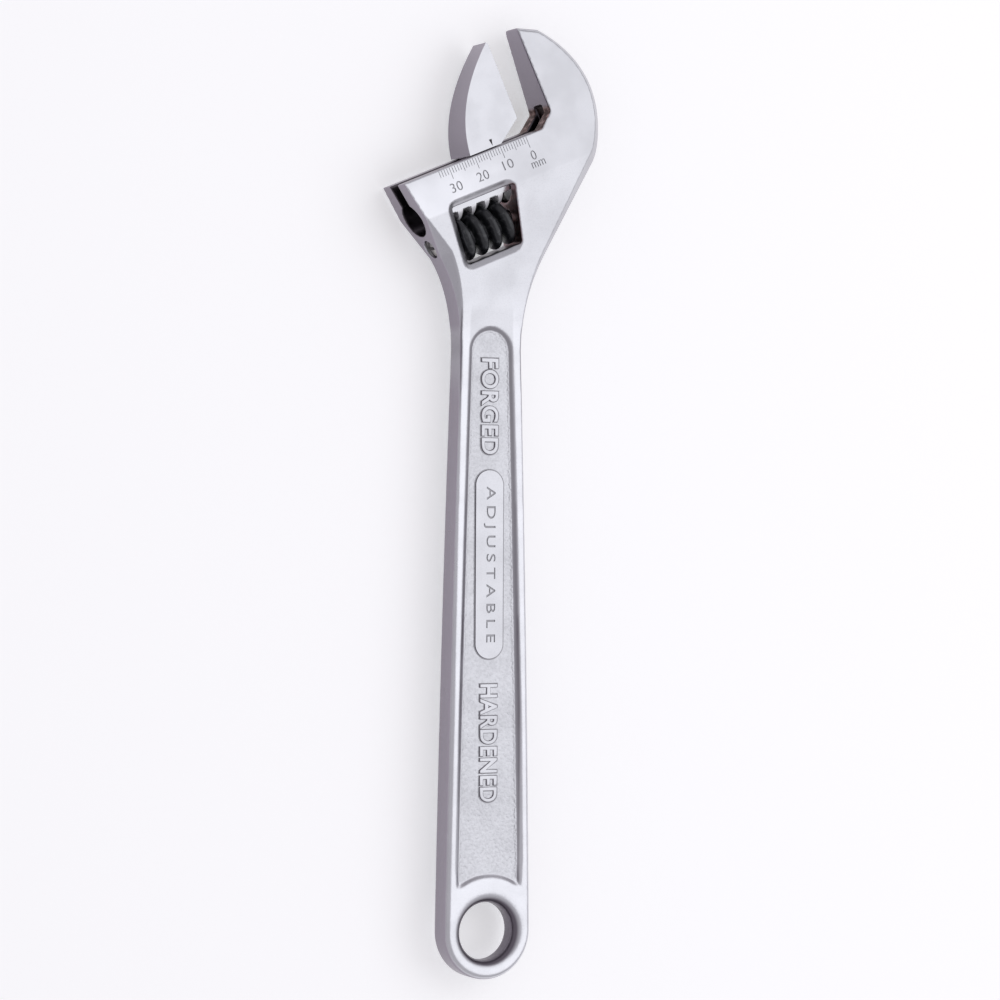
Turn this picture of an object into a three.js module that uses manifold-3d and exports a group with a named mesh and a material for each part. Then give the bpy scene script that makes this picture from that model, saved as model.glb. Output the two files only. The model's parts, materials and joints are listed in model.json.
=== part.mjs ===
// Adjustable wrench of the 300 mm class, lying flat with its scale face up. Millimetres, +Z up.
//
// Two drawing frames are used.
//   Tool frame: origin at the hanging hole, +Y along the handle to the head, +X to the fixed-jaw
//   side, Z = 0 on the mid-plane of the forging.
//   Head frame: origin at the root of the fixed jaw face, turned by HEAD_ANGLE. +Y runs up the jaw
//   faces to the tips and -X is the way in which the sliding jaw opens.

import * as THREE from 'three';
import { mergeVertices } from 'three/addons/utils/BufferGeometryUtils.js';
import { ParametricGeometry } from 'three/addons/geometries/ParametricGeometry.js';
import Module from 'manifold-3d';

const wasm = await Module();
wasm.setup();

// ---------------------------------------------------------------- driving dimensions

const HANDLE_LENGTH = 188; // hanging hole centre to the narrowest place of the neck
const RING_RADIUS = 15.5;
const HOLE_DIAMETER = 18.7;
const HOLE_LIP = 3.95; // width of the rounded lip around the hanging hole
const HOLE_WALL_HALF = 1.5; // the straight wall between the two lips
const MIDDLE_HALF_WIDTH = 14.2; // where the handle's edges are pulled to between ring and neck
const NECK_HALF_WIDTH = 11.1;
const RING_HALF_THICKNESS = 4.95;
const NECK_HALF_THICKNESS = 4.0;
const EDGE_HALF_THICKNESS = 3.5; // the flat band around the edge of the forging
const EDGE_SLOPE = 0.75; // how far the faces run inward for each millimetre above that band

const RAIL_WIDTH = 3.0;
const RECESS_DEPTH = 1.2;
const RECESS_WALL_RUN = 1.9;
const RING_COLLAR = 1.7; // material between the ring and the recess
const RECESS_FOOT = 0.09; // share of the handle length where the recess reaches its full width

const PLAQUE_LENGTH = 61.6;
const PLAQUE_WIDTH = 10.5;
const PLAQUE_HEIGHT = 0.4;
const PLAQUE_CENTRE = 0.63; // share of the handle length

const HEAD_ANGLE = THREE.MathUtils.degToRad(22.5);
const HEAD_ACROSS = 19.2; // root of the fixed jaw, from the handle's centre line
const HEAD_ABOVE_NECK = 78.6; // root of the fixed jaw, along the handle from the neck
const FLARE = 17.7; // above the neck, where both edges turn out to the head
const HEAD_BACK_X = 39.2; // the furthest place of the fixed jaw's back
const HEAD_TOP = 105.3; // above the neck
const CREASE_HALF_THICKNESS = 9.4; // the head is thickest on its crease line
const CREASE_Y = -17.4;
const TIP_HALF_THICKNESS = 4.5;
const JAW_REACH = 28;
const LOWER_FACE_SLOPE = 0.138; // below the crease the faces fall towards the handle

const THROAT_RUN = 5.6;
const LIP_Y = -4.3; // the two lips that the sliding jaw runs on
const BORE_DIAMETER = 11.4;
const BORE_Y = -17.2;
const BORE_END_X = 3.4; // the bore is blind behind the fixed jaw
const SLOT_WIDTH = 5.4;
const SLOT_END_X = 1;
const SLOT_TOP_Y = 1.8; // the slot's end also nicks the root of the fixed jaw face

const OPENING_AT_REST = 12;
const JAW_BASE_RIGHT = -8.8;
const JAW_BASE_LEFT = -20.9;
const JAW_ROOT_Y = 1.8;
const JAW_BASE_HALF_THICKNESS = 7.0;
const JAW_TIP_CHAMFER = 0.6;
const WEB_RIGHT = -9.1;
const WEB_LEFT = -20.3;

const THREAD_PITCH = 5.2;
const THREAD_DEPTH = 3.4;
const THREAD_FLANK = 0.9; // steepness of the flanks, which leaves round crests and roots
const THREAD_HAND = 1; // 1 is a right-hand thread, -1 a left-hand one
const WORM_DIAMETER = 16.2;
const WORM_LENGTH = 19.6;
const WORM_LEFT = -45.3;
const RACK_GAPS = 7;
const RACK_FIRST_GAP = -32.8; // from the sliding jaw's face

const WINDOW_SLANT = 3.3; // the window is wider at the rack than at its floor
const WINDOW_MOUTH_TOP_Y = -16.7; // foot of the bevel on the rack side
const WINDOW_BEVEL_RUN = 2.6;
const WINDOW_BEVEL_DEPTH = 1.9;
const WINDOW_BEVEL_EDGE = 0.3; // what the bevel takes off the slanted side
const WINDOW_CORNER = 0.7;
const WINDOW_MOUTH_CORNER = 1.3;

const PIN_DIAMETER = 4.3;
const PIN_HEAD_DIAMETER = 5.6;
const PIN_END_X = -19.5;
const PIN_SOCKET = 1.0; // how deep the pin's head sits in the end face
const PIN_SHOULDER = 1.5; // the pin's head ends this far short of the window
const PIN_SLOT = 1.0;
const PIN_SLOT_DEPTH = 1.2;
const SPRING_WIRE = 0.9;
const SPRING_TURNS = 6;
const SPRING_POCKET = 9.5;

const CLEARANCE = 0.3; // between pieces that touch or run on each other
const THREAD_CLEARANCE = 0.45; // on each flank and above each crest
const CURVE_STEPS = 24;
const LIP_STEPS = 8;
const BEYOND = 120; // length and thickness of cutting solids, past the whole head
const OVERRUN = 1.0; // how far one cut runs into the next

// ---------------------------------------------------------------- sizes that follow from them

const boreRadius = BORE_DIAMETER / 2;
const shankRadius = boreRadius - CLEARANCE;
const wormRadius = WORM_DIAMETER / 2;
const wormRootRadius = wormRadius - THREAD_DEPTH;
const wormY = BORE_Y - shankRadius - THREAD_CLEARANCE - wormRootRadius;
const wormRight = WORM_LEFT + WORM_LENGTH;
const headAlong = HANDLE_LENGTH + HEAD_ABOVE_NECK;
const jawTaper = (CREASE_HALF_THICKNESS - TIP_HALF_THICKNESS) / (JAW_REACH - CREASE_Y);
const windowLeft = WORM_LEFT - CLEARANCE;
const windowRight = wormRight + CLEARANCE;
const windowFloorY = wormY - wormRadius - THREAD_CLEARANCE;
const shankLeft = RACK_FIRST_GAP - 0.72 * THREAD_PITCH;
const shankRight = RACK_FIRST_GAP + (RACK_GAPS - 0.3) * THREAD_PITCH;
const crestShare = Math.acos(0.5 / THREAD_FLANK) / (2 * Math.PI); // half crest, in pitches
const springRadius = PIN_DIAMETER / 2 + CLEARANCE + SPRING_WIRE / 2;
const springPocketRadius = springRadius + SPRING_WIRE / 2 + CLEARANCE;

// ---------------------------------------------------------------- solids and frames

function solid(geometry) {
  const bare = geometry.clone();
  bare.deleteAttribute('normal');
  bare.deleteAttribute('uv');
  const merged = mergeVertices(bare, 1e-4);
  const corners = merged.index.array;
  const triangles = [];
  for (let i = 0; i < corners.length; i += 3) {
    const [a, b, c] = corners.slice(i, i + 3);
    if (a !== b && b !== c && c !== a) triangles.push(a, b, c);
  }
  return new wasm.Manifold(
    new wasm.Mesh({
      numProp: 3,
      vertProperties: new Float32Array(merged.attributes.position.array),
      triVerts: new Uint32Array(triangles),
    }),
  );
}

function piece(name, body, colour, roughness, metalness) {
  const { vertProperties, triVerts } = body.getMesh();
  const geometry = new THREE.BufferGeometry();
  geometry.setAttribute('position', new THREE.BufferAttribute(vertProperties, 3));
  geometry.setIndex(new THREE.BufferAttribute(triVerts, 1));
  geometry.computeVertexNormals();
  const material = new THREE.MeshStandardMaterial({ color: colour, roughness, metalness });
  const mesh = new THREE.Mesh(geometry, material);
  mesh.name = name;
  return mesh;
}

function plate(shape, thickness) {
  const geometry = new THREE.ExtrudeGeometry(shape, {
    depth: thickness,
    bevelEnabled: false,
    curveSegments: CURVE_STEPS,
  });
  return geometry.translate(0, 0, -thickness / 2);
}

// A section drawn in Y and Z, run along X between two places.
function barAlongX(shape, from, to) {
  const geometry = new THREE.ExtrudeGeometry(shape, {
    depth: to - from,
    bevelEnabled: false,
    curveSegments: CURVE_STEPS,
  });
  geometry.translate(0, 0, from);
  const turn = new THREE.Matrix4().makeBasis(
    new THREE.Vector3(0, 1, 0),
    new THREE.Vector3(0, 0, 1),
    new THREE.Vector3(1, 0, 0),
  );
  return geometry.applyMatrix4(turn);
}

function rodAlongX(radius, from, to, y, sides = 32) {
  const geometry = new THREE.CylinderGeometry(radius, radius, to - from, sides);
  geometry.rotateZ(-Math.PI / 2);
  return geometry.translate((from + to) / 2, y, 0);
}

function polygon(points) {
  return new THREE.Shape(points.map(([x, y]) => new THREE.Vector2(x, y)));
}

function roundedPolygon(points, radius) {
  const corners = points.map(([x, y]) => new THREE.Vector2(x, y));
  const shape = new THREE.Shape();
  corners.forEach((corner, i) => {
    const before = corners[(i + corners.length - 1) % corners.length];
    const after = corners[(i + 1) % corners.length];
    const start = corner.clone().add(before.clone().sub(corner).setLength(radius));
    const end = corner.clone().add(after.clone().sub(corner).setLength(radius));
    if (i === 0) shape.moveTo(start.x, start.y);
    else shape.lineTo(start.x, start.y);
    shape.quadraticCurveTo(corner.x, corner.y, end.x, end.y);
  });
  return shape;
}

const headToTool = new THREE.Matrix4()
  .makeRotationZ(HEAD_ANGLE)
  .setPosition(HEAD_ACROSS, headAlong, 0);

function inTool(geometry) {
  return solid(geometry.applyMatrix4(headToTool));
}

// ---------------------------------------------------------------- handle body

// The end face, where the slot and the bore come out, from its foot to its top corner.
const endFoot = new THREE.Vector2(-18.7, HANDLE_LENGTH + 29.3);
const endTop = new THREE.Vector2(-33.4, HANDLE_LENGTH + 51.4);

function handleHalfWidth(along) {
  const t = along / HANDLE_LENGTH;
  const ends = (1 - t) ** 2 * RING_RADIUS + t ** 2 * NECK_HALF_WIDTH;
  return ends + 2 * t * (1 - t) * MIDDLE_HALF_WIDTH;
}

// Outline of the whole forging before its jaw, slot and end face are cut. Left of the fixed jaw and
// past the end face it runs wide, so that its edge band stays off the cut faces.
function forgingOutline() {
  const neck = HANDLE_LENGTH;
  const top = neck + HEAD_TOP;
  const shape = new THREE.Shape();
  shape.moveTo(RING_RADIUS, 0);
  shape.quadraticCurveTo(MIDDLE_HALF_WIDTH, neck / 2, NECK_HALF_WIDTH, neck);
  shape.quadraticCurveTo(NECK_HALF_WIDTH, neck + FLARE, 20.4, neck + 33.6);
  shape.lineTo(37.0, neck + 62.9);
  shape.quadraticCurveTo(HEAD_BACK_X, neck + 66.8, HEAD_BACK_X, neck + 74);
  shape.bezierCurveTo(HEAD_BACK_X, neck + 88.5, 31.5, neck + 99, 16.3, top);
  shape.lineTo(-10, top);
  shape.lineTo(-60, top - 25);
  shape.lineTo(endFoot.x - 30.6, endFoot.y + 25.7);
  shape.lineTo(endFoot.x, endFoot.y);
  shape.quadraticCurveTo(-NECK_HALF_WIDTH, neck + FLARE, -NECK_HALF_WIDTH, neck);
  shape.quadraticCurveTo(-MIDDLE_HALF_WIDTH, neck / 2, -RING_RADIUS, 0);
  shape.absarc(0, 0, RING_RADIUS, Math.PI, 2 * Math.PI, false);
  return shape;
}

function forgingPlate() {
  const rise = CREASE_HALF_THICKNESS - EDGE_HALF_THICKNESS;
  const run = rise * EDGE_SLOPE;
  const geometry = new THREE.ExtrudeGeometry(forgingOutline(), {
    depth: 2 * EDGE_HALF_THICKNESS,
    bevelThickness: rise,
    bevelSize: run,
    bevelOffset: -run,
    bevelSegments: 1,
    curveSegments: CURVE_STEPS,
  });
  return solid(geometry.translate(0, 0, -EDGE_HALF_THICKNESS));
}

// The faces of the head: thickest on the crease, thinner to the jaw tips and to the handle.
function headThickness() {
  const topHalf = 0.7 * TIP_HALF_THICKNESS;
  const top = CREASE_Y + (CREASE_HALF_THICKNESS - topHalf) / jawTaper;
  const footHalf = 0.7 * NECK_HALF_THICKNESS;
  const foot = CREASE_Y - (CREASE_HALF_THICKNESS - footHalf) / LOWER_FACE_SLOPE;
  const section = polygon([
    [foot, -footHalf],
    [CREASE_Y, -CREASE_HALF_THICKNESS],
    [top, -topHalf],
    [top, topHalf],
    [CREASE_Y, CREASE_HALF_THICKNESS],
    [foot, footHalf],
  ]);
  return inTool(barAlongX(section, -BEYOND, BEYOND));
}

function handleThickness() {
  const taperStart = 0.38 * HANDLE_LENGTH;
  const top = HANDLE_LENGTH + 50;
  const section = polygon([
    [-2 * RING_RADIUS, -RING_HALF_THICKNESS],
    [taperStart, -RING_HALF_THICKNESS],
    [HANDLE_LENGTH, -NECK_HALF_THICKNESS],
    [top, -NECK_HALF_THICKNESS],
    [top, NECK_HALF_THICKNESS],
    [HANDLE_LENGTH, NECK_HALF_THICKNESS],
    [taperStart, RING_HALF_THICKNESS],
    [-2 * RING_RADIUS, RING_HALF_THICKNESS],
  ]);
  return solid(barAlongX(section, -BEYOND, BEYOND));
}

// Everything left of the fixed jaw and above the lips.
function jawOpening() {
  const outline = polygon([
    [0, 0],
    [0, BEYOND],
    [-BEYOND, BEYOND],
    [-BEYOND, LIP_Y],
    [-THROAT_RUN, LIP_Y],
  ]);
  return inTool(plate(outline, BEYOND));
}

function pastEndFace() {
  const up = endTop.clone().sub(endFoot).normalize();
  const out = new THREE.Vector2(-up.y, up.x);
  const far = endTop.clone().addScaledVector(up, BEYOND);
  const corners = [
    endFoot,
    far,
    far.clone().addScaledVector(out, BEYOND),
    endFoot.clone().addScaledVector(out, BEYOND),
  ];
  return solid(plate(new THREE.Shape(corners), BEYOND));
}

// The keyhole: a round bore for the rack shank, open to the lips through a narrow slot.
function keyhole() {
  const slot = plate(
    polygon([
      [-BEYOND, BORE_Y],
      [SLOT_END_X, BORE_Y],
      [SLOT_END_X, SLOT_TOP_Y],
      [0, SLOT_TOP_Y + SLOT_END_X],
      [-BEYOND, SLOT_TOP_Y + SLOT_END_X],
    ]),
    SLOT_WIDTH,
  );
  return inTool(rodAlongX(boreRadius, -BEYOND, BORE_END_X, BORE_Y)).add(inTool(slot));
}

function windowCorners() {
  return [
    [windowLeft, BORE_Y],
    [windowLeft, windowFloorY],
    [windowRight, windowFloorY],
    [windowRight + WINDOW_SLANT, BORE_Y],
  ];
}

// Bevelled mouth of the window on one face, side 1 for the scale face and -1 for the back.
function windowMouth(side) {
  const inward = WINDOW_BEVEL_RUN - WINDOW_BEVEL_EDGE;
  const corners = [
    [windowLeft, WINDOW_MOUTH_TOP_Y],
    [windowLeft, windowFloorY],
    [windowRight - inward, windowFloorY],
    [windowRight + WINDOW_SLANT - inward, WINDOW_MOUTH_TOP_Y],
  ].map(([x, y]) => [side * x, y - CREASE_Y]);
  if (side < 0) corners.reverse();
  const geometry = new THREE.ExtrudeGeometry(roundedPolygon(corners, WINDOW_MOUTH_CORNER), {
    depth: CREASE_HALF_THICKNESS,
    bevelThickness: WINDOW_BEVEL_DEPTH,
    bevelSize: WINDOW_BEVEL_RUN,
    bevelSegments: 1,
    curveSegments: LIP_STEPS,
  });
  geometry.rotateX(Math.atan(LOWER_FACE_SLOPE));
  geometry.translate(0, CREASE_Y, CREASE_HALF_THICKNESS);
  if (side < 0) geometry.rotateY(Math.PI);
  return inTool(geometry);
}

function wormWindow() {
  const through = inTool(plate(roundedPolygon(windowCorners(), WINDOW_CORNER), BEYOND));
  return through.add(windowMouth(1)).add(windowMouth(-1));
}

function pinHoles() {
  const headRadius = PIN_HEAD_DIAMETER / 2 + CLEARANCE;
  const shaftRadius = PIN_DIAMETER / 2 + CLEARANCE;
  const farEnd = PIN_END_X + CLEARANCE;
  const headHole = rodAlongX(headRadius, -BEYOND, windowLeft + OVERRUN, wormY, 24);
  const farHole = rodAlongX(shaftRadius, windowRight - OVERRUN, farEnd, wormY, 24);
  return inTool(headHole).add(inTool(farHole));
}

// Hanging hole with a rounded lip on both faces.
function hangingHole() {
  const holeRadius = HOLE_DIAMETER / 2;
  const lipDrop = RING_HALF_THICKNESS - HOLE_WALL_HALF;
  const upper = [];
  for (let i = 0; i <= LIP_STEPS; i += 1) {
    const angle = (i / LIP_STEPS) * (Math.PI / 2);
    const radius = holeRadius + HOLE_LIP * (1 - Math.cos(angle));
    upper.push(new THREE.Vector2(radius, RING_HALF_THICKNESS - lipDrop * (1 - Math.sin(angle))));
  }
  const rim = upper[upper.length - 1].x;
  const top = RING_HALF_THICKNESS + 3;
  const lower = upper.map((point) => new THREE.Vector2(point.x, -point.y)).reverse();
  const profile = [
    new THREE.Vector2(0, -top),
    new THREE.Vector2(rim, -top),
    ...lower,
    ...upper,
    new THREE.Vector2(rim, top),
    new THREE.Vector2(0, top),
  ];
  return solid(new THREE.LatheGeometry(profile, 48).rotateX(Math.PI / 2));
}

// Recess of the handle, round at the neck and hollowed around the ring at its other end.
function recessFloorOutline() {
  const inset = RAIL_WIDTH + RECESS_WALL_RUN;
  const ringArc = RING_RADIUS + RING_COLLAR + RECESS_WALL_RUN;
  const footHalf = handleHalfWidth(RECESS_FOOT * HANDLE_LENGTH) - inset;
  const footAngle = Math.acos(footHalf / ringArc);
  const topHalf = NECK_HALF_WIDTH - inset;
  const bulge = handleHalfWidth(HANDLE_LENGTH / 2) - inset;
  const shape = new THREE.Shape();
  shape.absarc(0, 0, ringArc, Math.PI - footAngle, footAngle, true);
  shape.quadraticCurveTo(bulge, HANDLE_LENGTH / 2, topHalf, HANDLE_LENGTH);
  shape.absarc(0, HANDLE_LENGTH, topHalf, 0, Math.PI, false);
  shape.quadraticCurveTo(
    -bulge,
    HANDLE_LENGTH / 2,
    -footHalf,
    ringArc * Math.sin(footAngle),
  );
  return shape;
}

function recess(side) {
  const fall = (RING_HALF_THICKNESS - NECK_HALF_THICKNESS) / HANDLE_LENGTH;
  const geometry = new THREE.ExtrudeGeometry(recessFloorOutline(), {
    depth: RING_HALF_THICKNESS,
    bevelThickness: RECESS_DEPTH,
    bevelSize: RECESS_WALL_RUN,
    bevelSegments: 1,
    curveSegments: CURVE_STEPS,
  });
  geometry.rotateX(-Math.atan(fall));
  geometry.translate(0, 0, RING_HALF_THICKNESS);
  if (side < 0) geometry.rotateY(Math.PI);
  return solid(geometry);
}

// Raised label in the recess of the scale side, a strip with round ends.
function plaque() {
  const centre = PLAQUE_CENTRE * HANDLE_LENGTH;
  const endRadius = PLAQUE_WIDTH / 2;
  const straightHalf = PLAQUE_LENGTH / 2 - endRadius;
  const outline = new THREE.Shape();
  outline.absarc(0, centre + straightHalf, endRadius, 0, Math.PI, false);
  outline.absarc(0, centre - straightHalf, endRadius, Math.PI, 2 * Math.PI, false);
  const fall = (RING_HALF_THICKNESS - NECK_HALF_THICKNESS) * PLAQUE_CENTRE;
  const floor = RING_HALF_THICKNESS - fall - RECESS_DEPTH;
  const geometry = new THREE.ExtrudeGeometry(outline, {
    depth: OVERRUN + PLAQUE_HEIGHT,
    bevelEnabled: false,
    curveSegments: CURVE_STEPS,
  });
  return solid(geometry.translate(0, 0, floor - OVERRUN));
}

function handleBody() {
  const forging = forgingPlate().intersect(headThickness().add(handleThickness()));
  const cuts = jawOpening()
    .add(pastEndFace())
    .add(keyhole())
    .add(wormWindow())
    .add(pinHoles())
    .add(hangingHole())
    .add(recess(1))
    .add(recess(-1));
  return forging.subtract(cuts).add(plaque());
}

// ---------------------------------------------------------------- sliding jaw

// Drawn with its gripping face on X = 0, as when the jaws are closed.
function jawOutline() {
  const baseY = LIP_Y + CLEARANCE;
  const shape = new THREE.Shape();
  shape.moveTo(JAW_BASE_RIGHT, baseY);
  shape.lineTo(0, JAW_ROOT_Y);
  shape.lineTo(0, JAW_REACH - JAW_TIP_CHAMFER);
  shape.lineTo(-JAW_TIP_CHAMFER, JAW_REACH);
  shape.bezierCurveTo(-13.6, 17.5, -19.8, 7, JAW_BASE_LEFT, baseY);
  return shape;
}

function jawThickness() {
  const taper = (JAW_BASE_HALF_THICKNESS - TIP_HALF_THICKNESS) / (JAW_REACH - LIP_Y);
  const top = JAW_REACH + OVERRUN;
  const topHalf = TIP_HALF_THICKNESS - taper * OVERRUN;
  const section = polygon([
    [LIP_Y, -JAW_BASE_HALF_THICKNESS],
    [top, -topHalf],
    [top, topHalf],
    [LIP_Y, JAW_BASE_HALF_THICKNESS],
  ]);
  return solid(barAlongX(section, -BEYOND, BEYOND));
}

// The web joins the jaw to the shank through the slot.
function jawWeb() {
  const foot = LIP_Y + CLEARANCE;
  const outline = polygon([
    [WEB_LEFT, BORE_Y],
    [WEB_RIGHT, BORE_Y],
    [WEB_RIGHT, foot + OVERRUN / 2],
    [WEB_LEFT, foot + OVERRUN],
  ]);
  return solid(plate(outline, SLOT_WIDTH - 2 * CLEARANCE));
}

// One rack gap: as wide as the thread that runs in it plus its clearance, and turned by the
// thread's lead angle.
function rackGap(centre) {
  const gapTop = wormY + wormRadius + THREAD_CLEARANCE;
  const gapFoot = BORE_Y - boreRadius;
  const topHalf = crestShare * THREAD_PITCH + THREAD_CLEARANCE;
  const footHalf = (0.5 - crestShare) * THREAD_PITCH + THREAD_CLEARANCE;
  const section = polygon([
    [-footHalf, gapFoot],
    [footHalf, gapFoot],
    [topHalf, gapTop],
    [-topHalf, gapTop],
  ]);
  const lead = Math.atan(THREAD_PITCH / (2 * Math.PI * (wormRadius - THREAD_DEPTH / 2)));
  const geometry = plate(section, BORE_DIAMETER + 4 * OVERRUN);
  geometry.rotateY(THREAD_HAND * lead);
  return solid(geometry.translate(centre, 0, 0));
}

function slidingJaw() {
  let shank = solid(rodAlongX(shankRadius, shankLeft, shankRight, BORE_Y));
  // One more gap past each end tapers the outer flank of the end teeth.
  for (let gap = -1; gap <= RACK_GAPS; gap += 1) {
    shank = shank.subtract(rackGap(RACK_FIRST_GAP + gap * THREAD_PITCH));
  }
  const jaw = solid(plate(jawOutline(), BEYOND)).intersect(jawThickness());
  return jaw.add(jawWeb()).add(shank);
}

// ---------------------------------------------------------------- worm, pin and spring

// Height of the thread over its root at a share of one pitch, 0.5 being the middle of the crest.
function threadHeight(share) {
  const wave = 0.5 + THREAD_FLANK * Math.cos(2 * Math.PI * (share - 0.5));
  return THREAD_DEPTH * Math.min(1, Math.max(0, wave));
}

// Outside of the worm, as a height field over its axis. firstCrest is a place on the rack side
// where the thread has a crest.
function wormOutside(firstCrest) {
  const rows = Math.round(WORM_LENGTH / (THREAD_PITCH / 10));
  const surface = (u, v, target) => {
    const angle = 2 * Math.PI * u;
    const row = Math.round(v * (rows + 2));
    const along = (Math.min(Math.max(row - 1, 0), rows) / rows) * WORM_LENGTH + WORM_LEFT;
    const turned = along - firstCrest - (THREAD_HAND * angle * THREAD_PITCH) / (2 * Math.PI);
    const share = turned / THREAD_PITCH + 0.5;
    const outer = wormRootRadius + threadHeight(share - Math.floor(share));
    const radius = row === 0 || row === rows + 2 ? 0 : outer;
    target.set(along, wormY + radius * Math.cos(angle), radius * Math.sin(angle));
  };
  return solid(new ParametricGeometry(surface, 40, rows + 2));
}

function worm() {
  const boreWall = PIN_DIAMETER / 2 + CLEARANCE;
  const pocketEnd = WORM_LEFT + SPRING_POCKET;
  const bore = rodAlongX(boreWall, WORM_LEFT - OVERRUN, wormRight + OVERRUN, wormY, 20);
  const pocket = rodAlongX(springPocketRadius, WORM_LEFT - OVERRUN, pocketEnd, wormY, 24);
  const crest = RACK_FIRST_GAP - OPENING_AT_REST;
  return wormOutside(crest).subtract(solid(bore)).subtract(solid(pocket));
}

function endFaceX(y) {
  const toolToHead = headToTool.clone().invert();
  const foot = new THREE.Vector3(endFoot.x, endFoot.y, 0).applyMatrix4(toolToHead);
  const top = new THREE.Vector3(endTop.x, endTop.y, 0).applyMatrix4(toolToHead);
  return THREE.MathUtils.mapLinear(y, foot.y, top.y, foot.x, top.x);
}

function wormPin() {
  const headEnd = endFaceX(wormY - PIN_HEAD_DIAMETER / 2) + PIN_SOCKET;
  const shoulder = windowLeft - PIN_SHOULDER;
  const head = rodAlongX(PIN_HEAD_DIAMETER / 2, headEnd, shoulder, wormY, 24);
  const shaft = rodAlongX(PIN_DIAMETER / 2, shoulder - OVERRUN, PIN_END_X, wormY, 24);
  const slot = new THREE.BoxGeometry(2 * PIN_SLOT_DEPTH, PIN_SLOT, PIN_HEAD_DIAMETER + OVERRUN);
  slot.translate(headEnd, wormY, 0);
  return solid(head).add(solid(shaft)).subtract(solid(slot));
}

class Helix extends THREE.Curve {
  getPoint(t, target = new THREE.Vector3()) {
    const angle = 2 * Math.PI * SPRING_TURNS * t;
    const from = windowLeft + CLEARANCE + SPRING_WIRE / 2;
    const to = WORM_LEFT + SPRING_POCKET - CLEARANCE - SPRING_WIRE / 2;
    return target.set(
      from + (to - from) * t,
      wormY + springRadius * Math.cos(angle),
      springRadius * Math.sin(angle),
    );
  }
}

function wormSpring() {
  const wire = new THREE.Shape();
  wire.absarc(0, 0, SPRING_WIRE / 2, 0, 2 * Math.PI, false);
  const geometry = new THREE.ExtrudeGeometry(wire, {
    steps: SPRING_TURNS * 14,
    extrudePath: new Helix(),
    curveSegments: 3,
  });
  return solid(geometry);
}

// ---------------------------------------------------------------- assembly

const CHROME = 0xc9ccd6;
const BLACK_OXIDE = 0x1d1f22;
const STEEL = 0x9a968f;

const head = new THREE.Group();
head.position.set(HEAD_ACROSS, headAlong, 0);
head.rotation.z = HEAD_ANGLE;

const jaw = piece('sliding_jaw', slidingJaw(), CHROME, 0.32, 0.9);
jaw.position.x = -OPENING_AT_REST;
head.add(jaw);
head.add(piece('worm', worm(), BLACK_OXIDE, 0.4, 0.7));
head.add(piece('worm_pin', wormPin(), STEEL, 0.4, 0.9));
head.add(piece('worm_spring', wormSpring(), STEEL, 0.35, 0.9));

const wrench = new THREE.Group();
wrench.add(piece('handle_body', handleBody(), CHROME, 0.34, 0.9));
wrench.add(head);

// The head points to -Y, and the origin is under the middle of the object's box.
wrench.rotation.z = Math.PI;
wrench.updateMatrixWorld(true);
const box = new THREE.Box3().setFromObject(wrench, true);
const middle = box.getCenter(new THREE.Vector3());
wrench.position.set(-middle.x, -middle.y, -box.min.z);

export default wrench;
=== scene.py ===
import math

import bpy
import numpy as np
from mathutils import Matrix, Vector
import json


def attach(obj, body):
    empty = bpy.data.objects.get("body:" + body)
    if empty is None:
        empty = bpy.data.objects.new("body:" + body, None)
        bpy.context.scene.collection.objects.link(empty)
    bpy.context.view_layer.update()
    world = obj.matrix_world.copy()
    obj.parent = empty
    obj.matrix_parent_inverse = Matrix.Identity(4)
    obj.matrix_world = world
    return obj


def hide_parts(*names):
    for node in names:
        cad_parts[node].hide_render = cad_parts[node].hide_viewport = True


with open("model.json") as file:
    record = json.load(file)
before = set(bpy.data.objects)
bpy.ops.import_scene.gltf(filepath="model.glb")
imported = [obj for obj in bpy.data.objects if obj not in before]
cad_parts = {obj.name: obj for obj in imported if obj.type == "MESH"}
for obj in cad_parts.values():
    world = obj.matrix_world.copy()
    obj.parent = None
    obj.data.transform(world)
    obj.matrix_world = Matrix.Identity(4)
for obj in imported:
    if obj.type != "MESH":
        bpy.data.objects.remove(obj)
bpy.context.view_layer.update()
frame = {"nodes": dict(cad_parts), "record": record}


# ---------------------------------------------------------------- the forging
# Handle, neck, head and fixed jaw are one drop forging of alloy steel. The flash is ground off its
# edges, the head is machined, and the whole is tumbled and plated in satin chrome, so that every
# forged edge is soft and every cut one nearly sharp.

MM = 0.001
JAW_FACE_MIDDLE = 14
HOLE_FROM_LAND = 15.2


def mount(name):
    found = next(m for m in frame["record"]["mounts"] if m["name"] == name)
    return Vector(found["pos_m"]), Vector(found["axis"])


# Millimetres of the head: X across the jaws, Y up the jaw faces, Z out of the scale face.
jaw_middle, opening_way = mount("fixed_jaw_face")
head_x = -opening_way
head_y = Vector((0, 0, 1)).cross(head_x)
head_root = jaw_middle - JAW_FACE_MIDDLE * MM * head_y
head = Matrix(
    (
        (head_x.x * MM, head_y.x * MM, 0, head_root.x),
        (head_x.y * MM, head_y.y * MM, 0, head_root.y),
        (0, 0, MM, head_root.z),
        (0, 0, 0, 1),
    )
)

# Millimetres of the handle: Y from the hanging hole to the head, X to the fixed jaw's side.
ring_land, _ = mount("ring_face_front")
hole_middle = Vector((ring_land.x, ring_land.y + HOLE_FROM_LAND * MM, head_root.z))
handle = Matrix.Translation(hole_middle) @ Matrix.Rotation(math.pi, 4, "Z") @ Matrix.Scale(MM, 4)


def pick(*pieces):
    bpy.ops.object.select_all(action="DESELECT")
    for piece in pieces:
        piece.select_set(True)
    bpy.context.view_layer.objects.active = pieces[0]


def modify(piece, kind, **settings):
    pick(piece)
    modifier = piece.modifiers.new(kind, kind)
    for name, value in settings.items():
        setattr(modifier, name, value)
    bpy.ops.object.modifier_apply(modifier=modifier.name)


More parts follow.
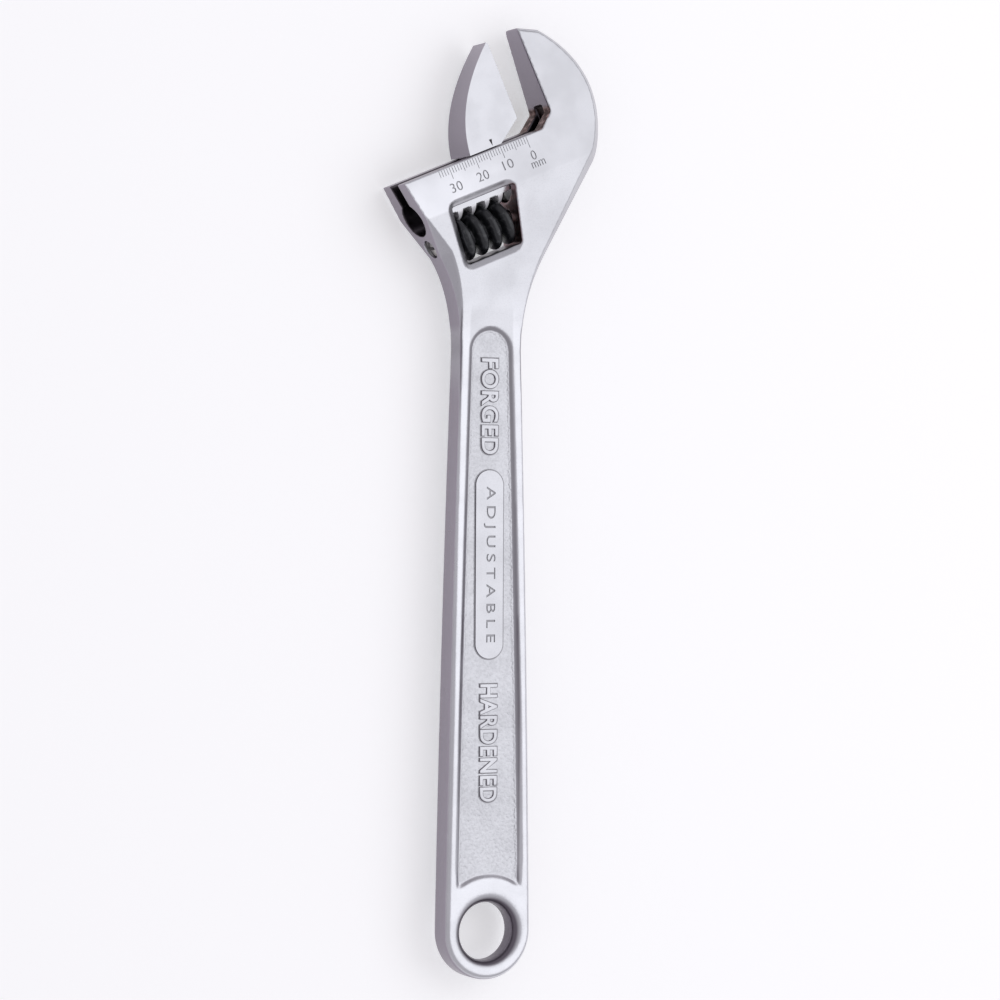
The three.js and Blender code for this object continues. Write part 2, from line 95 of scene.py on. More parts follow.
def edit_all(piece):
    pick(piece)
    bpy.ops.object.mode_set(mode="EDIT")
    bpy.ops.mesh.select_all(action="SELECT")


def clean(piece, gap):
    edit_all(piece)
    bpy.ops.mesh.remove_doubles(threshold=gap)
    bpy.ops.mesh.normals_make_consistent(inside=False)
    bpy.ops.object.mode_set(mode="OBJECT")


def settle(piece, drawn_in):
    """Puts a piece that was drawn in millimetres of the head or the handle in its place."""
    bpy.context.view_layer.update()
    piece.data.transform(drawn_in @ piece.matrix_world)
    piece.matrix_world = Matrix.Identity(4)
    return piece


def points_of(piece, drawn_in):
    """The vertices of a piece in millimetres of the head or the handle."""
    found = np.empty(len(piece.data.vertices) * 3, np.float32)
    piece.data.vertices.foreach_get("co", found)
    back = np.array(drawn_in.inverted())
    return found.reshape(-1, 3) @ back[:3, :3].T + back[:3, 3]


def group_where(piece, name, chosen):
    group = piece.vertex_groups.new(name=name)
    group.add(np.flatnonzero(chosen).tolist(), 1.0, "REPLACE")


def copy_of(node, name):
    piece = bpy.data.objects.new(name, frame["nodes"][node].data.copy())
    bpy.context.scene.collection.objects.link(piece)
    piece.data.materials.clear()
    clean(piece, 0.002 * MM)
    return piece


VOXEL = 0.3 * MM
TUMBLING = 13
FORGED_SOFTER = 24
HEAD_START = 196
KEPT_FACES = 0.27
LABEL_MIDDLE = 118.9
LABEL_LENGTH = 61.6
LABEL_WIDTH = 10.5
LABEL_MARGIN = 1
RECESS_FLOOR = 3.75
RECESS_FALL = 0.00505

forging = copy_of("handle_body", "forging")
modify(forging, "REMESH", mode="VOXEL", voxel_size=VOXEL, adaptivity=0)
places = points_of(forging, handle)
along = places[:, 1]
on_label = abs(along - LABEL_MIDDLE) < LABEL_LENGTH / 2 + LABEL_MARGIN
on_label &= (abs(places[:, 0]) < LABEL_WIDTH / 2 + LABEL_MARGIN) & (places[:, 2] > 0)
# The label's strip is made by itself below, so here the floor runs on under it.
floor = RECESS_FLOOR - RECESS_FALL * along
places[on_label, 2] = np.minimum(places[on_label, 2], floor[on_label])
forward = np.array(handle)
places = places @ forward[:3, :3].T + forward[:3, 3]
forging.data.vertices.foreach_set("co", places.ravel())
group_where(forging, "forged", along < HEAD_START)
modify(forging, "SMOOTH", factor=0.5, iterations=TUMBLING)
modify(forging, "SMOOTH", factor=0.5, iterations=FORGED_SOFTER, vertex_group="forged")
modify(forging, "DECIMATE", ratio=KEPT_FACES)


class Finish:
    """One value in a material's nodes. Python's operators on it add Math nodes."""

    def __init__(self, tree, socket):
        self.tree = tree
        self.socket = socket

    def node(self, kind, settings=(), inputs=(), output=0):
        made = self.tree.nodes.new(kind)
        for name, value in dict(settings).items():
            setattr(made, name, value)
        for name, value in dict(inputs).items():
            if isinstance(value, Finish):
                self.tree.links.new(value.socket, made.inputs[name])
            else:
                made.inputs[name].default_value = value
        return Finish(self.tree, made.outputs[output])

    def math(self, operation, other=0.0):
        return self.node("ShaderNodeMath", {"operation": operation}, {0: self, 1: other})

    def __add__(self, other):
        return self.math("ADD", other)

    def __mul__(self, other):
        return self.math("MULTIPLY", other)

    def __sub__(self, other):
        return self.math("SUBTRACT", other)

    def __rsub__(self, other):
        return self.node("ShaderNodeMath", {"operation": "SUBTRACT"}, {0: other, 1: self})

    __radd__ = __add__
    __rmul__ = __mul__

    def ramp(self, low, high):
        """0 at low, 1 at high, smooth between them."""
        if low > high:
            return 1 - self.ramp(high, low)
        settings = {"interpolation_type": "SMOOTHSTEP"}
        return self.node("ShaderNodeMapRange", settings, {0: self, 1: low, 2: high})

    def noise(self, size, detail=2.0):
        """Cloudy noise from 0 to 1, with blobs of that many millimetres."""
        inputs = {"Vector": self, "Scale": 1 / (size * MM), "Detail": detail}
        return self.node("ShaderNodeTexNoise", (), inputs)

    def mix(self, low, high):
        """Colour low where this value is 0, high where it is 1."""
        inputs = {0: self, 6: low, 7: high}
        return self.node("ShaderNodeMix", {"data_type": "RGBA"}, inputs, 2)

    def bump(self, distance, strength=1.0):
        inputs = {"Height": self, "Distance": distance * MM, "Strength": strength}
        return self.node("ShaderNodeBump", (), inputs)

    def measured_in(self, drawn_in, axis):
        """This place along one axis of the head or the handle, in millimetres."""
        way = drawn_in.col[axis].xyz.normalized()
        start = drawn_in.translation.dot(way)
        settings = {"operation": "DOT_PRODUCT"}
        along_axis = self.node("ShaderNodeVectorMath", settings, {0: self, 1: way}, "Value")
        return (along_axis - start) * (1 / MM)

    def feed(self, surface, name):
        self.tree.links.new(self.socket, surface.inputs[name])


def new_finish(name, metallic, colour, roughness, coat=0.0):
    """A material, a place on the piece and the material's surface."""
    material = bpy.data.materials.new(name)
    material.use_nodes = True
    tree = material.node_tree
    surface = tree.nodes["Principled BSDF"]
    surface.inputs["Metallic"].default_value = metallic
    surface.inputs["Base Color"].default_value = (*colour, 1)
    surface.inputs["Roughness"].default_value = roughness
    surface.inputs["Coat Weight"].default_value = coat
    place = Finish(tree, tree.nodes.new("ShaderNodeTexCoord").outputs["Object"])
    return material, place, surface


def coat(piece, material):
    """One material over the whole piece."""
    piece.data.materials.clear()
    piece.data.materials.append(material)
    for face in piece.data.polygons:
        face.material_index = 0


CHROME = (0.80, 0.81, 0.845)
UNLIT = (0, 0, 0, 1)
# The next two colours are painted shade: on the flanks, and on the walls of the recess and the
# hanging hole.
FLANK_SHADE = (0.31, 0.28, 0.325, 1)
SHADED_CHROME = (0.19, 0.17, 0.2, 1)
OILED_STEEL = (0.09, 0.08, 0.09, 1)
RUST = (0.36, 0.22, 0.22, 1)
PALE_GRIME = (0.42, 0.29, 0.28, 1)
DARK_GRIME = (0.085, 0.05, 0.045, 1)
SLOT_GRIME = (0.03, 0.02, 0.02, 1)
RECESS_START = 10
RECESS_END = 204
SKIN_TOP = 4.1
SKIN_FALL = 0.005
WORDS_HALF = 8.2
RAILS_HALF = 11.6
HOLE_RIM = 13.4
BORE_Y = -17.2
BORE_RADIUS = 5.8
SLOT_HALF = 2.85

chrome, place, surface = new_finish("satin_chrome", 1.0, CHROME, 0.3)
across_handle = place.measured_in(handle, 0)
along_handle = place.measured_in(handle, 1)
above_middle = place.measured_in(handle, 2).math("ABSOLUTE")
along_jaw = place.measured_in(head, 1)
across_head = place.measured_in(head, 0)
normal = place.node("ShaderNodeNewGeometry", (), (), "Normal")
facing = normal.node("ShaderNodeSeparateXYZ", (), {0: normal}, 2).math("ABSOLUTE")

clouds = place.noise(11, 3.0)
grain = place.noise(0.45, 2.0)
pebbles = place.noise(0.95, 1.5)

# The floor of the recess keeps the pebbled skin of the forging.
below_rails = (SKIN_TOP - along_handle * SKIN_FALL) - above_middle
on_handle = along_handle.ramp(RECESS_END, RECESS_END - 4)
on_handle = on_handle * along_handle.ramp(RECESS_START, RECESS_START + 4)
floor_skin = below_rails.ramp(0.0, 0.25) * on_handle * facing.ramp(0.7, 0.9)

# The ground scale face is a little greyer, with a painted highlight in its corner at the end face.
# The rails and the ring are painted lighter: a painted highlight as well as polish from the hand.
scale_face = along_jaw.ramp(-18.0, -17.0)
corner_highlight = along_jaw.ramp(0, -12) * across_head.ramp(-14, -40)
bright = 0.82 - scale_face * 0.04 + scale_face * corner_highlight * 0.18
from_middle = across_handle.math("ABSOLUTE")
in_recess_words = on_handle * along_handle.ramp(24, 30) * from_middle.ramp(WORDS_HALF, 7.4)
rails = (1 - in_recess_words) * (1 - floor_skin) * along_handle.ramp(212, 190)
bright = bright + rails * 0.14
cloudy = clouds.ramp(0.35, 0.7) * 0.06 + floor_skin * pebbles.ramp(0.35, 0.7) * 0.08
cloudy = cloudy + grain.ramp(0.45, 0.75) * (1 - scale_face) * 0.05
tone = (bright - cloudy).mix(UNLIT, (*CHROME, 1))

# Flanks, where the flash was ground off, are painted darker, and the walls of the recess and of the
# hanging hole darker still: painted shade. Oil and rust stay in the throat, the slot and at the
# right of the window.
between_rails = from_middle.ramp(RAILS_HALF, 10.8) * on_handle
from_hole = (across_handle * across_handle + along_handle * along_handle).math("SQRT")
shaded = between_rails.math("MAXIMUM", from_hole.ramp(HOLE_RIM, 12.6))
flank_shade = facing.ramp(0.75, 0.35) * (1 - shaded)
from_bore = along_jaw - BORE_Y
from_bore = (from_bore * from_bore + above_middle * above_middle).math("SQRT")
in_bore = from_bore.ramp(BORE_RADIUS + 0.2, BORE_RADIUS) * across_head.ramp(4.4, 3.8)
in_slot = above_middle.ramp(SLOT_HALF + 0.15, SLOT_HALF) * across_head.ramp(2.4, 1.8)
in_slot = in_slot * along_jaw.ramp(-17, -15) * along_jaw.ramp(2.4, 1.8)
flank_tone = flank_shade.mix(tone, FLANK_SHADE)
flank_tone = (shaded * facing.ramp(0.975, 0.75)).mix(flank_tone, SHADED_CHROME)
flank_tone = in_bore.math("MAXIMUM", in_slot).mix(flank_tone, OILED_STEEL)
stains = place.noise(1.6, 3.0).ramp(0.25, 0.6)
sunken = facing.ramp(0.9, 0.6)
throat = across_head.ramp(-9.5, -7) * across_head.ramp(3, 1.5)
throat = throat * along_jaw.ramp(2.6, 1.0) * along_jaw.ramp(-16, -14) * sunken
window_end = across_head.ramp(-27.5, -26) * across_head.ramp(-21, -22.5) * sunken
window_end = window_end * along_jaw.ramp(-15, -18) * along_jaw.ramp(-40, -38)
rust_tone = (window_end * stains * 0.9).mix(flank_tone, RUST)
grime = stains.mix(PALE_GRIME, DARK_GRIME)
grime = in_slot.mix(grime, SLOT_GRIME)
throat.mix(rust_tone, grime).feed(surface, "Base Color")
roughness = 0.3 + (clouds - 0.5) * 0.08 + (grain - 0.5) * 0.08 + floor_skin * 0.07 + throat * 0.15
roughness.feed(surface, "Roughness")
height = grain * 0.35 + floor_skin * pebbles * 4 + (pebbles * 0.5 * (1 - scale_face))
height.bump(0.06, 0.8).feed(surface, "Normal")
coat(forging, chrome)


def cut(piece, cutter):
    modify(
        piece,
        "BOOLEAN",
        operation="DIFFERENCE",
        object=cutter,
        solver="MANIFOLD",
        material_mode="TRANSFER",
    )
    bpy.data.objects.remove(cutter)


def smooth(piece, degrees=30):
    pick(piece)
    bpy.ops.object.shade_smooth_by_angle(angle=math.radians(degrees))


def fixed(piece, body):
    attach(piece, body)


# ---------------------------------------------------------------- the scale
# The millimetre scale is engraved in the ground face beside the jaws: a tick for each millimetre
# of jaw opening, longer ones at every fifth and tenth, and figures below them.

FACE_FALL = 0.10793
CREASE_Y = -17.4
CREASE_HALF = 9.4
LIP_Y = -4.3
ZERO_X = -12.1
TICKS = 35
TICK_WIDTH = 0.18
TEN_TICK = 3.8
FIVE_TICK = 2.8
SHORT_TICK = 2.1
BELOW_LIP = 0.5
ENGRAVED = 0.2


def on_scale_face(x, y):
    """A drawing frame on the ground face, its origin at that place of the head."""
    z = CREASE_HALF - FACE_FALL * (y - CREASE_Y)
    tilt = Matrix.Rotation(-math.atan(FACE_FALL), 4, "X")
    return head @ Matrix.Translation((x, y, z)) @ tilt


def tick(number):
    length = TEN_TICK if number % 10 == 0 else FIVE_TICK if number % 5 == 0 else SHORT_TICK
    bpy.ops.object.select_all(action="DESELECT")
    bpy.ops.mesh.primitive_cube_add(size=1, location=(0, -length / 2, 0.5 - ENGRAVED))
    cutter = bpy.context.object
    cutter.dimensions = (TICK_WIDTH, length, 1)
    return settle(cutter, on_scale_face(ZERO_X - number, LIP_Y - BELOW_LIP))


def letters(words, length, height, depth, spacing=1.0, boldness=0.0, rounding=0.0):
    """A word as a closed mesh, fitted to that length and height, from -depth to depth."""
    bpy.ops.object.select_all(action="DESELECT")
    bpy.ops.object.text_add()
    word = bpy.context.object
    word.data.body = words
    word.data.align_x = "CENTER"
    word.data.align_y = "CENTER"
    word.data.size = height
    word.data.extrude = depth - rounding
    word.data.bevel_depth = rounding
    word.data.bevel_resolution = 2
    word.data.offset = boldness
    word.data.space_character = spacing
    word.data.resolution_u = 6
    bpy.ops.object.convert(target="MESH")
    clean(word, 0.0004)
    low = np.min([v.co for v in word.data.vertices], axis=0)
    high = np.max([v.co for v in word.data.vertices], axis=0)
    middle = Vector((low + high) / 2)
    stretch = Matrix.Diagonal((length / (high - low)[0], height / (high - low)[1], 1, 1))
    word.data.transform(stretch @ Matrix.Translation((-middle.x, -middle.y, 0)))
    return word


etched, place, surface = new_finish("etched_line", 1.0, (0.2, 0.2, 0.21), 0.5)
soot = place.noise(0.4, 2.0)
soot.mix((0.28, 0.28, 0.3, 1), (0.5, 0.5, 0.52, 1)).feed(surface, "Base Color")
(0.4 + soot * 0.2).feed(surface, "Roughness")

cutters = [tick(number) for number in range(TICKS)]
for words, x, y, length, tall in (
    ("0", -12.0, -11.1, 1.9, 3.1),
    ("10", -21.9, -10.8, 3.9, 3.1),
    ("20", -31.9, -11.2, 4.3, 3.1),
    ("30", -42.2, -11.3, 4.3, 3.1),
    ("mm", -11.4, -14.2, 5.2, 1.9),
):
    figure = letters(words, length, tall, ENGRAVED, spacing=1.05)
    cutters.append(settle(figure, on_scale_face(x, y)))
pick(*cutters)
bpy.ops.object.join()
scale = bpy.context.object
coat(scale, etched)
cut(forging, scale)


# ---------------------------------------------------------------- the label
# A raised strip with round ends stands in the recess, struck by the same die. Its edge is sharp,
# with a dark line round its foot that is painted shade, and its word is engraved in it.

LABEL_DRAFT = 0.4
LABEL_PROUD = 0.45
LABEL_SHADE_LINE = 0.35
LABEL_SHADE_PROUD = 0.1


def in_recess(along):
    """A drawing frame on the recess floor, reading towards the hanging hole."""
    z = RECESS_FLOOR - RECESS_FALL * along
    tilt = Matrix.Rotation(-math.atan(RECESS_FALL), 4, "X")
    return handle @ Matrix.Translation((0, along, z)) @ tilt @ Matrix.Rotation(-math.pi / 2, 4, "Z")


def strip(name, width, length, proud):
    """A strip with round ends in the recess, proud of its floor."""
    bpy.ops.object.select_all(action="DESELECT")
    bpy.ops.mesh.primitive_cylinder_add(vertices=64, radius=width / 2, depth=1.0)
    made = bpy.context.object
    made.name = name
    for way in (-1, 1):
        edit_all(made)
        bpy.ops.mesh.select_all(action="DESELECT")
        bpy.ops.object.mode_set(mode="OBJECT")
        for vertex in made.data.vertices:
            vertex.select = vertex.co.x * way > 0.01
        bpy.ops.object.mode_set(mode="EDIT")
        bpy.ops.transform.translate(value=(way * (length - width) / 2, 0, 0))
        bpy.ops.object.mode_set(mode="OBJECT")
    made.location.z = proud - 0.5
    return settle(made, Matrix.Identity(4))


label = strip("label_strip", LABEL_WIDTH - LABEL_DRAFT, LABEL_LENGTH - LABEL_DRAFT, LABEL_PROUD)
modify(label, "BEVEL", width=0.16, segments=3, limit_method="ANGLE", angle_limit=math.radians(50))
word = letters("ADJUSTABLE", 50.5, 4.3, 0.25, spacing=1.5, boldness=0.02)
word.location.z = LABEL_PROUD
settle(word, Matrix.Identity(4))
coat(word, etched)
coat(label, chrome)
cut(label, word)
settle(label, in_recess(LABEL_MIDDLE))
smooth(label)
modify(label, "WEIGHTED_NORMAL", keep_sharp=True)
fixed(label, "body")

# A dark strip a little wider than the label, under its edge: painted shade.
width, length = LABEL_WIDTH + LABEL_SHADE_LINE, LABEL_LENGTH + LABEL_SHADE_LINE
label_shade = strip("label_foot_shade", width, length, LABEL_SHADE_PROUD)
coat(settle(label_shade, in_recess(LABEL_MIDDLE)), etched)
fixed(label_shade, "body")


# ---------------------------------------------------------------- the raised words
# The die leaves bold raised letters at both ends of the recess, one word towards the head and one
# towards the hanging hole. A thin dark line round the foot of each letter is painted shade.

WORD_HEIGHT = 6.5
WORD_PROUD = 0.45
WORD_SPACING = 1.06
SHADE_LINE = 0.5
SHADE_LINE_PROUD = 0.12

for name, words, along, length in (
    ("raised_word_near_head", "FORGED", 170.1, 31.4),
    ("raised_word_near_hole", "HARDENED", 61.1, 38.4),
):
    raised = letters(words, length, WORD_HEIGHT, WORD_PROUD, WORD_SPACING, -0.02, 0.3)
    raised.name = name
    settle(raised, in_recess(along))
    coat(raised, chrome)
    smooth(raised, 40)
    fixed(raised, "body")
    # The dark line round the foot of each letter is painted shade.
    long, tall = length + SHADE_LINE, WORD_HEIGHT + SHADE_LINE
    foot = letters(words, long, tall, SHADE_LINE_PROUD, WORD_SPACING, boldness=0.3)
    foot.name = name + "_foot"
    coat(settle(foot, in_recess(along)), etched)
    fixed(foot, "body")

smooth(forging)
fixed(forging, "body")
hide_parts("handle_body")


# ---------------------------------------------------------------- the sliding jaw
# A second forging: its face and sides are ground, its shank is turned and carries the rack, whose
# teeth are painted bright, a painted highlight as well as wear from the worm. A black wedge in its
# foot points at the scale.

PITCH = 5.2
FIRST_CREST = -44.8
RACK_FLOOR = -19.2
GAP_HALF = 1.26
GAP_FLARE = 0.265
JAW_EDGE = 0.22 * MM
JAW_FALL = 0.0774
JAW_HALF_AT_LIP = 7.0
POINTER_X = -24.0
POINTER_Y = -2.1
# A painted highlight on the teeth's tops and painted shade in their gaps, along with wear and oil.
WORN_AND_HIGHLIT_STEEL = (0.9, 0.9, 0.93, 1)
OIL_AND_SHADE = (0.02, 0.02, 0.02, 1)

jaw_finish, place, surface = new_finish("ground_chrome", 1.0, CHROME, 0.26)
jaw_along = place.measured_in(head, 1)
normal = place.node("ShaderNodeNewGeometry", (), (), "Normal")
facing = normal.node("ShaderNodeSeparateXYZ", (), {0: normal}, 2).math("ABSOLUTE")
grain = place.noise(0.45, 2.0)
clouds = place.noise(9, 3.0)
on_blade = jaw_along.ramp(-5.5, -4.6)
# The blade's sides are painted darker than its face: painted shade.
flank_shade = facing.ramp(0.8, 0.2) * on_blade
tone = (0.81 - clouds.ramp(0.35, 0.7) * 0.06).mix(UNLIT, (*CHROME, 1))
flank_tone = flank_shade.mix(tone, FLANK_SHADE)

# The gaps between the teeth are painted black, painted shade as well as oil, and the teeth's tops
# near white, a painted highlight as well as wear.
across_jaw = place.measured_in(head, 0)
turns = (across_jaw - FIRST_CREST) * (1 / PITCH) + 0.5
from_gap = (turns.math("FRACT") - 0.5).math("ABSOLUTE") * PITCH
gap_half = GAP_HALF + (RACK_FLOOR - jaw_along) * GAP_FLARE
toothed = jaw_along.ramp(RACK_FLOOR + 0.5, RACK_FLOOR)
gap = (from_gap - gap_half).ramp(0.1, -0.05) * toothed
worn_and_highlit_teeth = toothed * (1 - gap)
tooth_tone = worn_and_highlit_teeth.mix(flank_tone, WORN_AND_HIGHLIT_STEEL)
gap.mix(tooth_tone, OIL_AND_SHADE).feed(surface, "Base Color")
(1 - toothed * 0.75).feed(surface, "Metallic")
(0.24 + (clouds - 0.5) * 0.1 + (grain - 0.5) * 0.08).feed(surface, "Roughness")
grain.bump(0.03, 0.4).feed(surface, "Normal")

sliding_jaw = copy_of("sliding_jaw", "sliding_jaw_forging")
edit_all(sliding_jaw)
bpy.ops.mesh.dissolve_limited(angle_limit=math.radians(1.5))
bpy.ops.object.mode_set(mode="OBJECT")
modify(
    sliding_jaw,
    "BEVEL",
    width=JAW_EDGE,
    segments=3,
    limit_method="ANGLE",
    angle_limit=math.radians(28),
    use_clamp_overlap=True,
)
bpy.ops.object.select_all(action="DESELECT")
bpy.ops.mesh.primitive_cylinder_add(vertices=3, radius=1, depth=1)
pointer = bpy.context.object
pointer.scale = (0.62, 1.55, 1)
pointer.rotation_euler.z = math.pi
settle(pointer, Matrix.Identity(4))
foot_half = JAW_HALF_AT_LIP - JAW_FALL * (POINTER_Y - LIP_Y)
on_foot = Matrix.Translation((POINTER_X, POINTER_Y, foot_half + 0.5 - ENGRAVED))
settle(pointer, head @ on_foot @ Matrix.Rotation(-math.atan(JAW_FALL), 4, "X"))
ink, place, surface = new_finish("pointer_ink", 0.0, (0.05, 0.05, 0.05), 0.6)
soot = place.noise(0.4, 2.0)
soot.mix((0.02, 0.02, 0.02, 1), (0.08, 0.07, 0.08, 1)).feed(surface, "Base Color")
coat(pointer, ink)
coat(sliding_jaw, jaw_finish)
cut(sliding_jaw, pointer)
smooth(sliding_jaw)
modify(sliding_jaw, "WEIGHTED_NORMAL", keep_sharp=True)
fixed(sliding_jaw, "jaw")
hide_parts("sliding_jaw")


# ---------------------------------------------------------------- the worm
# The worm is turned from bar, its thread rolled to full round turns that the thumb rolls, then
# blacked and oiled. It is bored for its pin and counterbored for the spring.

THREAD_DEPTH = 3.4
ROOT_RADIUS = 4.7
WORM_LEFT = -45.3
WORM_LENGTH = 19.6
WORM_Y = -27.75
TURN_HALF_WIDTH = 1.98
WORM_CHAMFER = 0.7
WORM_BORE = 2.45
SPRING_ROOM = 3.6
SPRING_ROOM_END = -35.8
OVERRUN = 1.7
ROWS = 150
SIDES = 120
BLACKED = (0.02, 0.022, 0.025, 1)
THUMBED = (0.11, 0.115, 0.12, 1)


def turned_bar(radius, from_x, to_x, sides=48):
    """A round bar along X, between two places of the head."""
    bpy.ops.object.select_all(action="DESELECT")
    bpy.ops.mesh.primitive_cylinder_add(vertices=sides, radius=radius, depth=to_x - from_x)
    bar = bpy.context.object
    bar.rotation_euler.y = math.pi / 2
    bar.location = ((from_x + to_x) / 2, 0, 0)
    return settle(bar, Matrix.Identity(4))


black, place, surface = new_finish("black_oxide", 0.55, (0.022, 0.024, 0.027), 0.3, 0.5)
surface.inputs["Coat Roughness"].default_value = 0.22
worn = place.noise(1.4, 3.0)
(worn.ramp(0.5, 0.75) * 0.6).mix(BLACKED, THUMBED).feed(surface, "Base Color")
(0.26 + worn * 0.22).feed(surface, "Roughness")
(place.noise(0.5, 2.0) + worn).bump(0.04, 0.5).feed(surface, "Normal")

worm_right = WORM_LEFT + WORM_LENGTH
worm = turned_bar(ROOT_RADIUS, WORM_LEFT, worm_right, SIDES)
worm.name = "worm_screw"
edit_all(worm)
bpy.ops.mesh.select_mode(type="EDGE")
bpy.ops.mesh.select_all(action="DESELECT")
bpy.ops.object.mode_set(mode="OBJECT")
for edge in worm.data.edges:
    ends = [worm.data.vertices[i].co.x for i in edge.vertices]
    edge.select = abs(ends[0] - ends[1]) > 1
bpy.ops.object.mode_set(mode="EDIT")
bpy.ops.mesh.subdivide(number_cuts=ROWS)
bpy.ops.mesh.select_mode(type="VERT")
bpy.ops.object.mode_set(mode="OBJECT")
for vertex in worm.data.vertices:
    x, y, z = vertex.co
    turned = math.atan2(z, y) * PITCH / (2 * math.pi)
    share = ((x - FIRST_CREST - turned) / PITCH + 0.5) % 1 - 0.5
    lobe = max(0.0, 1 - abs(share * PITCH / TURN_HALF_WIDTH) ** 2.3) ** 0.5
    end = min(x - WORM_LEFT, worm_right - x) / WORM_CHAMFER
    lobe *= min(1.0, max(0.0, 0.25 + end)) ** 0.5
    stretch = (ROOT_RADIUS + THREAD_DEPTH * lobe) / math.hypot(y, z)
    vertex.co = (x, y * stretch, z * stretch)
cut(worm, turned_bar(WORM_BORE, WORM_LEFT - OVERRUN, worm_right + OVERRUN))
cut(worm, turned_bar(SPRING_ROOM, WORM_LEFT - OVERRUN, SPRING_ROOM_END))
settle(worm, head @ Matrix.Translation((0, WORM_Y, 0)))
coat(worm, black)
smooth(worm, 50)
fixed(worm, "worm")
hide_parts("worm")


# ---------------------------------------------------------------- the worm's pin
# A turned steel pin with a screwdriver slot, screwed in from the end face. The worm turns on its
# bright shaft.

PIN_START = -52.9
PIN_SHOULDER = -47.1
PIN_END = -19.5
PIN_HEAD_RADIUS = 2.8
PIN_RADIUS = 2.15
PIN_EDGE = 0.22
SLOT_DEPTH = 1.2
SLOT_WIDTH = 1.0
TURNED = (0.55, 0.53, 0.51, 1)
STAINED = (0.2, 0.17, 0.15, 1)

steel, place, surface = new_finish("turned_steel", 1.0, (0.52, 0.5, 0.48), 0.32)
rings = place.noise(0.25, 1.0)
stain = place.noise(1.5, 3.0)
(stain.ramp(0.4, 0.7) * 0.7).mix(TURNED, STAINED).feed(surface, "Base Color")
(0.26 + stain * 0.25).feed(surface, "Roughness")
rings.bump(0.02, 0.5).feed(surface, "Normal")

pin = turned_bar(PIN_HEAD_RADIUS, PIN_START, PIN_SHOULDER)
pin.name = "slotted_pin"
edit_all(pin)
bpy.ops.mesh.select_mode(type="FACE")
bpy.ops.mesh.select_all(action="DESELECT")
bpy.ops.object.mode_set(mode="OBJECT")
for face in pin.data.polygons:
    face.select = face.normal.x > 0.9
bpy.ops.object.mode_set(mode="EDIT")
bpy.ops.mesh.inset(thickness=PIN_HEAD_RADIUS - PIN_RADIUS)
shaft = (PIN_END - PIN_SHOULDER, 0, 0)
bpy.ops.mesh.extrude_region_move(TRANSFORM_OT_translate={"value": shaft})
bpy.ops.mesh.select_mode(type="VERT")
bpy.ops.object.mode_set(mode="OBJECT")
edges = math.radians(50)
modify(pin, "BEVEL", width=PIN_EDGE, segments=3, limit_method="ANGLE", angle_limit=edges)
bpy.ops.object.select_all(action="DESELECT")
bpy.ops.mesh.primitive_cube_add(size=1, location=(PIN_START, 0, 0))
slot_cutter = bpy.context.object
slot_cutter.dimensions = (2 * SLOT_DEPTH, SLOT_WIDTH, 8)
cut(pin, settle(slot_cutter, Matrix.Identity(4)))
settle(pin, head @ Matrix.Translation((0, WORM_Y, 0)))
coat(pin, steel)
smooth(pin)
fixed(pin, "body")
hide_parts("worm_pin")


# ---------------------------------------------------------------- the worm's spring
# A coil of spring wire on the pin, in the worm's counterbore. It pushes the worm to one side, so
# that the jaw has no play.

SPRING_TURNS = 6
STEPS_A_TURN = 24
SPRING_RADIUS = 2.9
SPRING_WIRE = 0.9
SPRING_FROM = -44.85
SPRING_TO = -36.55

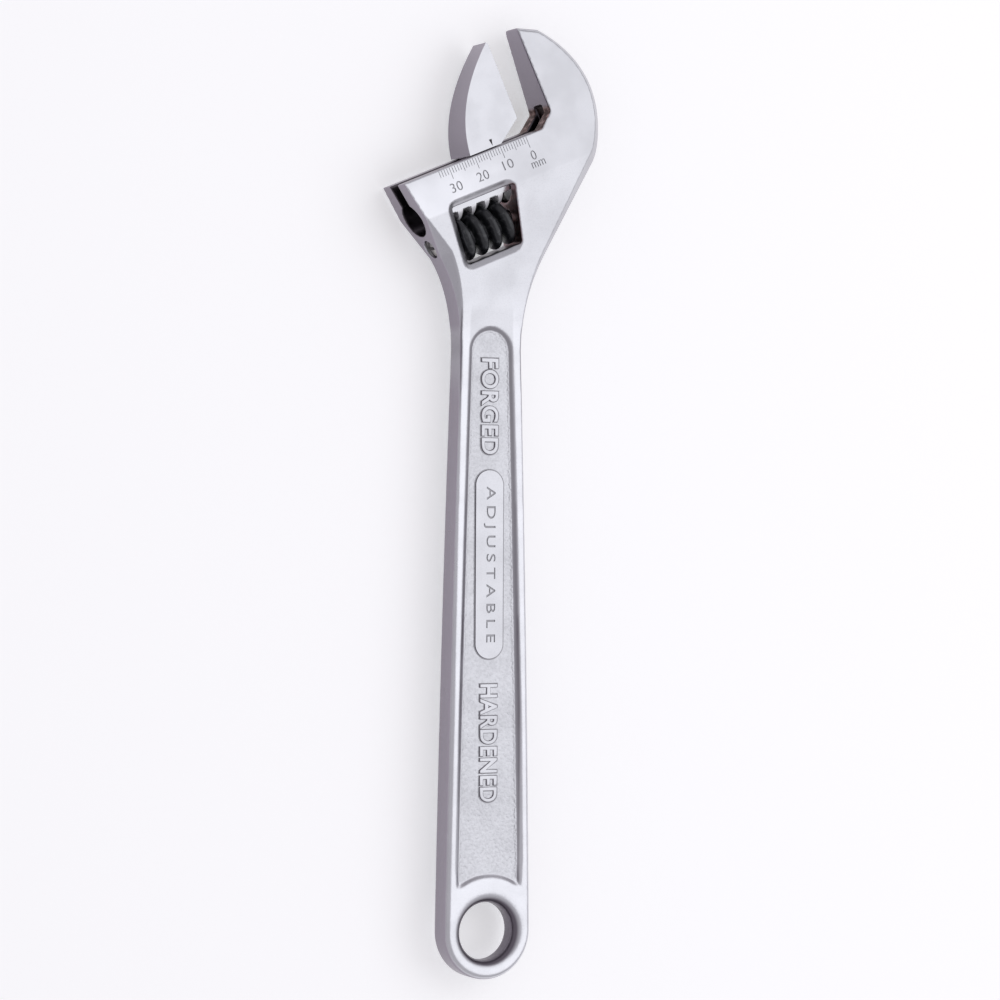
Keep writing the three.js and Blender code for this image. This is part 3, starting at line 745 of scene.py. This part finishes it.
wire = bpy.data.curves.new("worm_spring_wire", "CURVE")
wire.dimensions = "3D"
wire.bevel_depth = SPRING_WIRE / 2
wire.bevel_resolution = 2
wire.use_fill_caps = True
coil = wire.splines.new("POLY")
steps = SPRING_TURNS * STEPS_A_TURN
coil.points.add(steps)
for step, point in enumerate(coil.points):
    turn = 2 * math.pi * SPRING_TURNS * step / steps
    x = SPRING_FROM + (SPRING_TO - SPRING_FROM) * step / steps
    point.co = (x, SPRING_RADIUS * math.cos(turn), SPRING_RADIUS * math.sin(turn), 1)
spring = bpy.data.objects.new("worm_spring_coil", wire)
bpy.context.scene.collection.objects.link(spring)
pick(spring)
bpy.ops.object.convert(target="MESH")
spring = bpy.context.object
clean(spring, 0.001)
settle(spring, head @ Matrix.Translation((0, WORM_Y, 0)))
coat(spring, steel)
smooth(spring)
fixed(spring, "body")
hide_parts("worm_spring")


# ---------------------------------------------------------------- the studio
# A plain pale table top under one large soft light, in a plain room. The camera looks down at the
# tool from its left.

CAMERA_AIM = Vector((-0.00283, -0.00087, 0.0094))
CAMERA_AWAY = 1.085

bpy.ops.object.select_all(action="DESELECT")
bpy.ops.mesh.primitive_plane_add(size=6)
table = bpy.context.object
table.name = "table_top"
paint, _, surface = new_finish("table_paint", 0.0, (0.85, 0.85, 0.86), 0.8)
surface.inputs["Emission Color"].default_value = (1, 1, 1, 1)
surface.inputs["Emission Strength"].default_value = 0.36
table.data.materials.append(paint)

room = bpy.data.worlds.new("room")
bpy.context.scene.world = room
room.use_nodes = True
sky = room.node_tree.nodes["Background"]
sky.inputs["Color"].default_value = (0.97, 0.94, 1.0, 1)
sky.inputs["Strength"].default_value = 0.52


def soft_light(name, place, aim, width, length, power, colour):
    light = bpy.data.lights.new(name, "AREA")
    light.shape = "RECTANGLE"
    light.size = width
    light.size_y = length
    light.energy = power
    light.color = colour
    holder = bpy.data.objects.new(name, light)
    bpy.context.scene.collection.objects.link(holder)
    holder.location = place
    holder.rotation_euler = (Vector(aim) - Vector(place)).to_track_quat("-Z", "Y").to_euler()


soft_light("soft_box", (-0.52, -0.12, 0.95), (0, 0, 0), 1.5, 1.3, 4.5, (0.97, 0.98, 1.0))

lens = bpy.data.cameras.new("camera")
lens.lens = 120
lens.sensor_width = 36
camera = bpy.data.objects.new("camera", lens)
bpy.context.scene.collection.objects.link(camera)
bpy.context.scene.camera = camera
back = Vector((0.4602, 0.0036, 0.8878)).normalized()
side = Vector((0.00785, -0.99997, 0)).cross(back).normalized()
turned = Matrix((side, back.cross(side), back)).transposed().to_4x4()
camera.matrix_world = Matrix.Translation(CAMERA_AIM + CAMERA_AWAY * back) @ turned
bpy.context.scene.view_settings.view_transform = "Standard"
